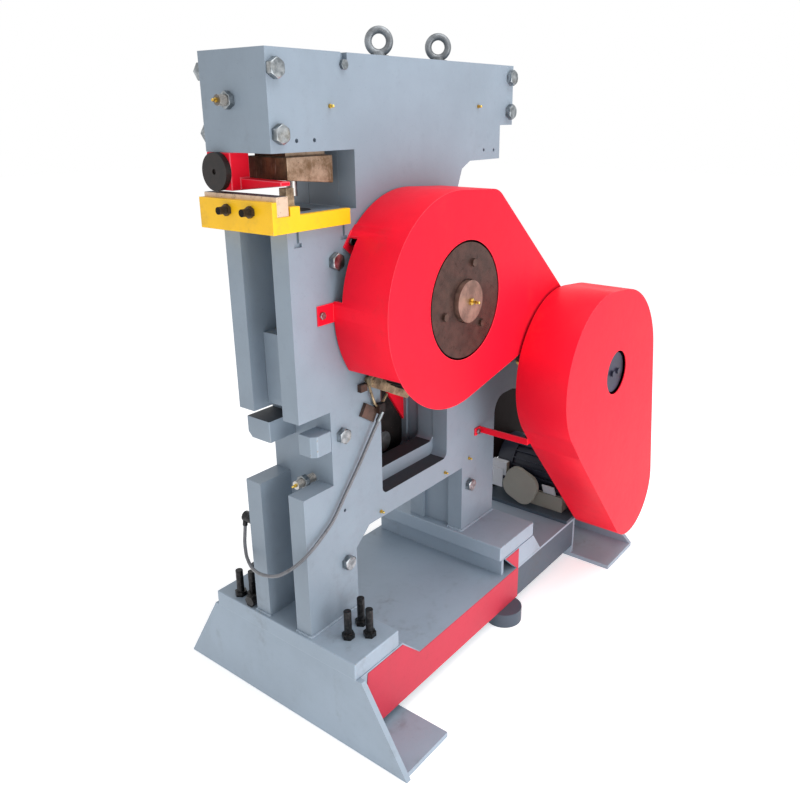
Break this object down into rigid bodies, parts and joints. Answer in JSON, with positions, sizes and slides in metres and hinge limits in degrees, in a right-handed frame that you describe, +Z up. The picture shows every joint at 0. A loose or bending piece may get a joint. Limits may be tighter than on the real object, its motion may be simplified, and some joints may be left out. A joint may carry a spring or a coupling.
{
  "type": "mechanical ironworker",
  "caption": "Mechanical ironworker with a punching throat, notching gap, shear window, guarded gear and belt drive, motor and welded base.",
  "frame": {"origin": "on the floor, under the column's front face and on the machine's mid-plane, on the bottom edge of the front foot's upright plate", "axes": "+X from the punching end towards the motor end, +Y away from the guarded side, +Z up"},
  "size_m": [1.4589, 0.848, 1.726],
  "materials": {
    "grey_paint": "satin blue-grey enamel",
    "dark_paint": "satin dark grey enamel",
    "skirt_red": "flat pinkish red paint",
    "guard_red": "satin bright red enamel",
    "yellow_paint": "satin yellow enamel",
    "motor_paint": "satin dark navy enamel",
    "box_paint": "satin grey-beige enamel",
    "black_paint": "satin black paint",
    "black_bolt": "black oxide",
    "zinc": "zinc plated",
    "dark_steel": "dark, lightly oiled",
    "bright_steel": "machined",
    "worn_steel": "oiled and stained",
    "oily_steel": "oily brown",
    "brass": "bright",
    "bronze": "satin",
    "black_cap": "matte",
    "pulley_iron": "machined dark iron",
    "belt_rubber": "matte",
    "braid": "woven wire braid"
  },
  "bodies": {
    "frame": {"floor_feet": "grey_paint", "column_pads": "grey_paint", "deck_plate": "grey_paint", "side_rails": "dark_paint", "red_skirt": "skirt_red", "motor_plate": "dark_paint", "base_bolts": "black_bolt", "side_plate_near": "grey_paint", "side_plate_far": "grey_paint", "beam_core": "grey_paint", "throat_block": "grey_paint", "front_post": "grey_paint", "rear_post": "grey_paint", "window_block": "grey_paint", "shear_blades": "dark_steel", "tie_bolts": "zinc", "tie_nuts": "zinc", "eye_bolts": "bright_steel", "grease_nipples": "brass", "small_screws": "zinc", "adjuster_studs": "bright_steel", "adjuster_nuts": "zinc", "die_table": "yellow_paint", "table_screws": "black_bolt", "die_bar": "worn_steel", "lower_die": "worn_steel", "hold_down": "guard_red", "hold_down_cap": "black_cap", "notch_dies": "grey_paint", "gear_guard": "guard_red", "belt_guard": "guard_red", "guard_strap": "guard_red", "shaft_bushes": "bronze", "drive_belts": "belt_rubber", "motor_body": "motor_paint", "terminal_box": "box_paint", "control_cabinet": "black_paint", "pivot_pin": "bright_steel", "clutch_rods": "worn_steel", "control_cable": "braid", "cable_socket": "black_cap"},
    "crank": {"eccentric_shaft": "oily_steel", "bull_gear": "dark_steel", "clutch_disc": "oily_steel", "clutch_bolts": "oily_steel", "shaft_nipple": "brass"},
    "link_rod": {"connecting_rod": "dark_steel"},
    "idler": {"idler_shaft": "dark_steel", "idler_gear": "dark_steel"},
    "drive": {"drive_shaft": "bright_steel", "belt_pulley": "pulley_iron"},
    "motor_rotor": {"motor_shaft": "bright_steel", "motor_pulley": "pulley_iron"},
    "beam_lever": {"rocker_lever": "dark_steel", "link_pin": "bright_steel"},
    "ram": {"punch_ram": "worn_steel", "punch": "bright_steel"},
    "shear": {"shear_slide": "oily_steel"},
    "notcher": {"notch_slide": "grey_paint"},
    "clutch": {"clutch_lever": "worn_steel"}
  },
  "joints": [
    {"name": "drive_spin", "type": "hinge", "parent": "frame", "child": "drive", "pos_m": [1.002, 0, 0.778], "axis": [0, 1, 0], "continuous": true},
    {"name": "idler_spin", "type": "hinge", "parent": "frame", "child": "idler", "pos_m": [0.77209, 0, 1.01124], "axis": [0, 1, 0], "continuous": true},
    {"name": "crank_spin", "type": "hinge", "parent": "frame", "child": "crank", "pos_m": [0.432, 0, 1.085], "axis": [0, 1, 0], "continuous": true},
    {"name": "rod_turn", "type": "hinge", "parent": "crank", "child": "link_rod", "pos_m": [0.432, 0, 1.093], "axis": [0, 1, 0], "continuous": true},
    {"name": "motor_spin", "type": "hinge", "parent": "frame", "child": "motor_rotor", "pos_m": [1.228, 0, 0.279], "axis": [0, 1, 0], "continuous": true},
    {"name": "ram_slide", "type": "slide", "parent": "frame", "child": "ram", "axis": [0, 0, 1], "range_m": [-0.033, 0]},
    {"name": "lever_swing", "type": "hinge", "parent": "frame", "child": "beam_lever", "pos_m": [0.726, 0, 1.542], "axis": [0, 1, 0], "range_deg": [-3.12, 0]},
    {"name": "shear_move", "type": "slide", "parent": "frame", "child": "shear", "axis": [0, 0, 1], "range_m": [-0.03, 0]},
    {"name": "notch_move", "type": "slide", "parent": "frame", "child": "notcher", "axis": [0, 0, 1], "range_m": [-0.02, 0]},
    {"name": "clutch_tilt", "type": "hinge", "parent": "frame", "child": "clutch", "pos_m": [0.238, -0.116, 0.899], "axis": [0, 1, 0], "range_deg": [-3, 5]}
  ],
  "couplings": [
    {"joint": "idler_spin", "follows": "drive_spin", "ratio": -0.2243},
    {"joint": "crank_spin", "follows": "drive_spin", "ratio": 0.093002},
    {"joint": "rod_turn", "follows": "drive_spin", "ratio": -0.093002},
    {"joint": "motor_spin", "follows": "drive_spin", "ratio": 3.9516},
    {"joint": "lever_swing", "follows": "ram_slide", "rad_per_m": 1.6447}
  ]
}
